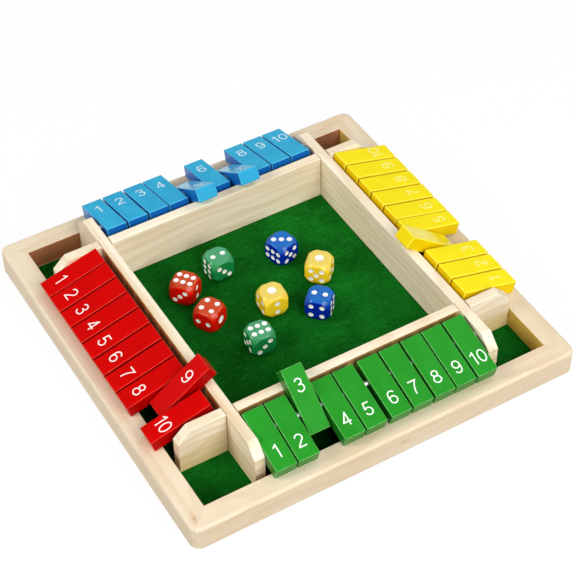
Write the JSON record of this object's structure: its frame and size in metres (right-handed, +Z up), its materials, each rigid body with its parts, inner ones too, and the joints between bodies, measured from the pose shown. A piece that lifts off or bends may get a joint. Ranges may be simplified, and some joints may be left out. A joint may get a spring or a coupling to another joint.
{
  "type": "shut the box game",
  "caption": "Shut the box for several players: square wooden box with a felt floor, a dice tray, painted numbered flip tiles on a rod along each side, and coloured dice.",
  "frame": {"origin": "centre of the square outline at the underside of the box", "axes": "+Z up, +Y from the green row towards the blue row, +X from the red row towards the yellow row"},
  "size_m": [0.29, 0.29, 0.0531],
  "materials": {
    "rail_wood": "pale solid wood, clear satin lacquer",
    "wall_wood": "pale solid wood, clear satin lacquer",
    "base_wood": "thin plain wood panel",
    "green_felt": "short dense felt",
    "rod_steel": "plain bright steel rod",
    "green_paint": "wood painted green, satin, pale figure at one end",
    "red_paint": "wood painted red, satin, pale figure at one end",
    "blue_paint": "wood painted light blue, satin, pale figure at one end",
    "yellow_paint": "wood painted yellow, satin, pale figure at one end",
    "red_plastic": "glossy moulded plastic with white pips",
    "green_plastic": "glossy moulded plastic with white pips",
    "blue_plastic": "glossy moulded plastic with white pips",
    "yellow_plastic": "glossy moulded plastic with white pips"
  },
  "bodies": {
    "box": {"base_panel": "base_wood", "felt_sheet": "green_felt", "rail_front": "rail_wood", "rail_right": "rail_wood", "rail_back": "rail_wood", "rail_left": "rail_wood", "left_long_wall": "wall_wood", "right_long_wall": "wall_wood", "front_short_wall": "wall_wood", "back_short_wall": "wall_wood", "end_cheeks": "wall_wood", "pivot_rods": "rod_steel"},
    "green_tile_01": {"green_tile_01": "green_paint"},
    "green_tile_02": {"green_tile_02": "green_paint"},
    "green_tile_03": {"green_tile_03": "green_paint"},
    "green_tile_04": {"green_tile_04": "green_paint"},
    "green_tile_05": {"green_tile_05": "green_paint"},
    "green_tile_06": {"green_tile_06": "green_paint"},
    "green_tile_07": {"green_tile_07": "green_paint"},
    "green_tile_08": {"green_tile_08": "green_paint"},
    "green_tile_09": {"green_tile_09": "green_paint"},
    "green_tile_10": {"green_tile_10": "green_paint"},
    "red_tile_01": {"red_tile_01": "red_paint"},
    "red_tile_02": {"red_tile_02": "red_paint"},
    "red_tile_03": {"red_tile_03": "red_paint"},
    "red_tile_04": {"red_tile_04": "red_paint"},
    "red_tile_05": {"red_tile_05": "red_paint"},
    "red_tile_06": {"red_tile_06": "red_paint"},
    "red_tile_07": {"red_tile_07": "red_paint"},
    "red_tile_08": {"red_tile_08": "red_paint"},
    "red_tile_09": {"red_tile_09": "red_paint"},
    "red_tile_10": {"red_tile_10": "red_paint"},
    "blue_tile_01": {"blue_tile_01": "blue_paint"},
    "blue_tile_02": {"blue_tile_02": "blue_paint"},
    "blue_tile_03": {"blue_tile_03": "blue_paint"},
    "blue_tile_04": {"blue_tile_04": "blue_paint"},
    "blue_tile_05": {"blue_tile_05": "blue_paint"},
    "blue_tile_06": {"blue_tile_06": "blue_paint"},
    "blue_tile_07": {"blue_tile_07": "blue_paint"},
    "blue_tile_08": {"blue_tile_08": "blue_paint"},
    "blue_tile_09": {"blue_tile_09": "blue_paint"},
    "blue_tile_10": {"blue_tile_10": "blue_paint"},
    "yellow_tile_01": {"yellow_tile_01": "yellow_paint"},
    "yellow_tile_02": {"yellow_tile_02": "yellow_paint"},
    "yellow_tile_03": {"yellow_tile_03": "yellow_paint"},
    "yellow_tile_04": {"yellow_tile_04": "yellow_paint"},
    "yellow_tile_05": {"yellow_tile_05": "yellow_paint"},
    "yellow_tile_06": {"yellow_tile_06": "yellow_paint"},
    "yellow_tile_07": {"yellow_tile_07": "yellow_paint"},
    "yellow_tile_08": {"yellow_tile_08": "yellow_paint"},
    "yellow_tile_09": {"yellow_tile_09": "yellow_paint"},
    "yellow_tile_10": {"yellow_tile_10": "yellow_paint"},
    "red_die_a": {"red_die_a": "red_plastic"},
    "red_die_b": {"red_die_b": "red_plastic"},
    "green_die_a": {"green_die_a": "green_plastic"},
    "green_die_b": {"green_die_b": "green_plastic"},
    "blue_die_a": {"blue_die_a": "blue_plastic"},
    "blue_die_b": {"blue_die_b": "blue_plastic"},
    "yellow_die_a": {"yellow_die_a": "yellow_plastic"},
    "yellow_die_b": {"yellow_die_b": "yellow_plastic"}
  },
  "joints": [
    {"name": "green_01_flip", "type": "hinge", "parent": "box", "child": "green_tile_01", "pos_m": [-0.07385, -0.1063, 0.0311], "axis": [-1, 0, 0], "range_deg": [0, 160.08]},
    {"name": "green_02_flip", "type": "hinge", "parent": "box", "child": "green_tile_02", "pos_m": [-0.05755, -0.1063, 0.0311], "axis": [-1, 0, 0], "range_deg": [0, 160.08]},
    {"name": "green_03_flip", "type": "hinge", "parent": "box", "child": "green_tile_03", "pos_m": [-0.04035, -0.1063, 0.0311], "axis": [-1, 0, 0], "range_deg": [-160.08, 0]},
    {"name": "green_04_flip", "type": "hinge", "parent": "box", "child": "green_tile_04", "pos_m": [-0.02365, -0.1063, 0.0311], "axis": [-1, 0, 0], "range_deg": [0, 160.08]},
    {"name": "green_05_flip", "type": "hinge", "parent": "box", "child": "green_tile_05", "pos_m": [-0.00725, -0.1063, 0.0311], "axis": [-1, 0, 0], "range_deg": [0, 160.08]},
    {"name": "green_06_flip", "type": "hinge", "parent": "box", "child": "green_tile_06", "pos_m": [0.01145, -0.1063, 0.0311], "axis": [-1, 0, 0], "range_deg": [0, 160.08]},
    {"name": "green_07_flip", "type": "hinge", "parent": "box", "child": "green_tile_07", "pos_m": [0.02815, -0.1063, 0.0311], "axis": [-1, 0, 0], "range_deg": [0, 160.08]},
    {"name": "green_08_flip", "type": "hinge", "parent": "box", "child": "green_tile_08", "pos_m": [0.04505, -0.1063, 0.0311], "axis": [-1, 0, 0], "range_deg": [0, 160.08]},
    {"name": "green_09_flip", "type": "hinge", "parent": "box", "child": "green_tile_09", "pos_m": [0.06135, -0.1063, 0.0311], "axis": [-1, 0, 0], "range_deg": [0, 160.08]},
    {"name": "green_10_flip", "type": "hinge", "parent": "box", "child": "green_tile_10", "pos_m": [0.07805, -0.1063, 0.0311], "axis": [-1, 0, 0], "range_deg": [0, 160.08]},
    {"name": "red_01_flip", "type": "hinge", "parent": "box", "child": "red_tile_01", "pos_m": [-0.1074, 0.08065, 0.0311], "axis": [0, 1, 0], "range_deg": [0, 160.77]},
    {"name": "red_02_flip", "type": "hinge", "parent": "box", "child": "red_tile_02", "pos_m": [-0.1074, 0.06445, 0.0311], "axis": [0, 1, 0], "range_deg": [0, 160.77]},
    {"name": "red_03_flip", "type": "hinge", "parent": "box", "child": "red_tile_03", "pos_m": [-0.1074, 0.04785, 0.0311], "axis": [0, 1, 0], "range_deg": [0, 160.77]},
    {"name": "red_04_flip", "type": "hinge", "parent": "box", "child": "red_tile_04", "pos_m": [-0.1074, 0.03135, 0.0311], "axis": [0, 1, 0], "range_deg": [0, 160.77]},
    {"name": "red_05_flip", "type": "hinge", "parent": "box", "child": "red_tile_05", "pos_m": [-0.1074, 0.01465, 0.0311], "axis": [0, 1, 0], "range_deg": [0, 160.77]},
    {"name": "red_06_flip", "type": "hinge", "parent": "box", "child": "red_tile_06", "pos_m": [-0.1074, -0.00205, 0.0311], "axis": [0, 1, 0], "range_deg": [0, 160.77]},
    {"name": "red_07_flip", "type": "hinge", "parent": "box", "child": "red_tile_07", "pos_m": [-0.1074, -0.01895, 0.0311], "axis": [0, 1, 0], "range_deg": [0, 160.77]},
    {"name": "red_08_flip", "type": "hinge", "parent": "box", "child": "red_tile_08", "pos_m": [-0.1074, -0.03555, 0.0311], "axis": [0, 1, 0], "range_deg": [0, 160.77]},
    {"name": "red_09_flip", "type": "hinge", "parent": "box", "child": "red_tile_09", "pos_m": [-0.1074, -0.05165, 0.0311], "axis": [0, 1, 0], "range_deg": [-160.77, 0]},
    {"name": "red_10_flip", "type": "hinge", "parent": "box", "child": "red_tile_10", "pos_m": [-0.1074, -0.06885, 0.0311], "axis": [0, 1, 0], "range_deg": [0, 160.77]},
    {"name": "blue_01_flip", "type": "hinge", "parent": "box", "child": "blue_tile_01", "pos_m": [-0.07175, 0.1134, 0.0311], "axis": [1, 0, 0], "range_deg": [0, 159.54]},
    {"name": "blue_02_flip", "type": "hinge", "parent": "box", "child": "blue_tile_02", "pos_m": [-0.05525, 0.1134, 0.0311], "axis": [1, 0, 0], "range_deg": [0, 159.54]},
    {"name": "blue_03_flip", "type": "hinge", "parent": "box", "child": "blue_tile_03", "pos_m": [-0.03865, 0.1134, 0.0311], "axis": [1, 0, 0], "range_deg": [0, 159.54]},
    {"name": "blue_04_flip", "type": "hinge", "parent": "box", "child": "blue_tile_04", "pos_m": [-0.02275, 0.1134, 0.0311], "axis": [1, 0, 0], "range_deg": [0, 159.54]},
    {"name": "blue_05_flip", "type": "hinge", "parent": "box", "child": "blue_tile_05", "pos_m": [-0.00585, 0.1134, 0.0311], "axis": [1, 0, 0], "range_deg": [-159.54, 0]},
    {"name": "blue_06_flip", "type": "hinge", "parent": "box", "child": "blue_tile_06", "pos_m": [0.01105, 0.1134, 0.0311], "axis": [1, 0, 0], "range_deg": [0, 159.54]},
    {"name": "blue_07_flip", "type": "hinge", "parent": "box", "child": "blue_tile_07", "pos_m": [0.02835, 0.1134, 0.0311], "axis": [1, 0, 0], "range_deg": [-159.54, 0]},
    {"name": "blue_08_flip", "type": "hinge", "parent": "box", "child": "blue_tile_08", "pos_m": [0.04465, 0.1134, 0.0311], "axis": [1, 0, 0], "range_deg": [0, 159.54]},
    {"name": "blue_09_flip", "type": "hinge", "parent": "box", "child": "blue_tile_09", "pos_m": [0.06085, 0.1134, 0.0311], "axis": [1, 0, 0], "range_deg": [0, 159.54]},
    {"name": "blue_10_flip", "type": "hinge", "parent": "box", "child": "blue_tile_10", "pos_m": [0.07715, 0.1134, 0.0311], "axis": [1, 0, 0], "range_deg": [0, 159.54]},
    {"name": "yellow_01_flip", "type": "hinge", "parent": "box", "child": "yellow_tile_01", "pos_m": [0.1119, -0.07135, 0.0311], "axis": [0, -1, 0], "range_deg": [0, 158.03]},
    {"name": "yellow_02_flip", "type": "hinge", "parent": "box", "child": "yellow_tile_02", "pos_m": [0.1119, -0.05475, 0.0311], "axis": [0, -1, 0], "range_deg": [0, 158.03]},
    {"name": "yellow_03_flip", "type": "hinge", "parent": "box", "child": "yellow_tile_03", "pos_m": [0.1119, -0.03815, 0.0311], "axis": [0, -1, 0], "range_deg": [0, 158.03]},
    {"name": "yellow_04_flip", "type": "hinge", "parent": "box", "child": "yellow_tile_04", "pos_m": [0.1119, -0.02065, 0.0311], "axis": [0, -1, 0], "range_deg": [-158.03, 0]},
    {"name": "yellow_05_flip", "type": "hinge", "parent": "box", "child": "yellow_tile_05", "pos_m": [0.1119, -0.00335, 0.0311], "axis": [0, -1, 0], "range_deg": [0, 158.03]},
    {"name": "yellow_06_flip", "type": "hinge", "parent": "box", "child": "yellow_tile_06", "pos_m": [0.1119, 0.01275, 0.0311], "axis": [0, -1, 0], "range_deg": [0, 158.03]},
    {"name": "yellow_07_flip", "type": "hinge", "parent": "box", "child": "yellow_tile_07", "pos_m": [0.1119, 0.02955, 0.0311], "axis": [0, -1, 0], "range_deg": [0, 158.03]},
    {"name": "yellow_08_flip", "type": "hinge", "parent": "box", "child": "yellow_tile_08", "pos_m": [0.1119, 0.04615, 0.0311], "axis": [0, -1, 0], "range_deg": [0, 158.03]},
    {"name": "yellow_09_flip", "type": "hinge", "parent": "box", "child": "yellow_tile_09", "pos_m": [0.1119, 0.06305, 0.0311], "axis": [0, -1, 0], "range_deg": [0, 158.03]},
    {"name": "yellow_10_flip", "type": "hinge", "parent": "box", "child": "yellow_tile_10", "pos_m": [0.1119, 0.07965, 0.0311], "axis": [0, -1, 0], "range_deg": [0, 158.03]},
    {"name": "red_die_a_lift", "type": "slide", "parent": "box", "child": "red_die_a", "axis": [0, 0, 1], "range_m": [0, 0.06]},
    {"name": "red_die_b_lift", "type": "slide", "parent": "box", "child": "red_die_b", "axis": [0, 0, 1], "range_m": [0, 0.06]},
    {"name": "green_die_a_lift", "type": "slide", "parent": "box", "child": "green_die_a", "axis": [0, 0, 1], "range_m": [0, 0.06]},
    {"name": "green_die_b_lift", "type": "slide", "parent": "box", "child": "green_die_b", "axis": [0, 0, 1], "range_m": [0, 0.06]},
    {"name": "blue_die_a_lift", "type": "slide", "parent": "box", "child": "blue_die_a", "axis": [0, 0, 1], "range_m": [0, 0.06]},
    {"name": "blue_die_b_lift", "type": "slide", "parent": "box", "child": "blue_die_b", "axis": [0, 0, 1], "range_m": [0, 0.06]},
    {"name": "yellow_die_a_lift", "type": "slide", "parent": "box", "child": "yellow_die_a", "axis": [0, 0, 1], "range_m": [0, 0.06]},
    {"name": "yellow_die_b_lift", "type": "slide", "parent": "box", "child": "yellow_die_b", "axis": [0, 0, 1], "range_m": [0, 0.06]}
  ]
}
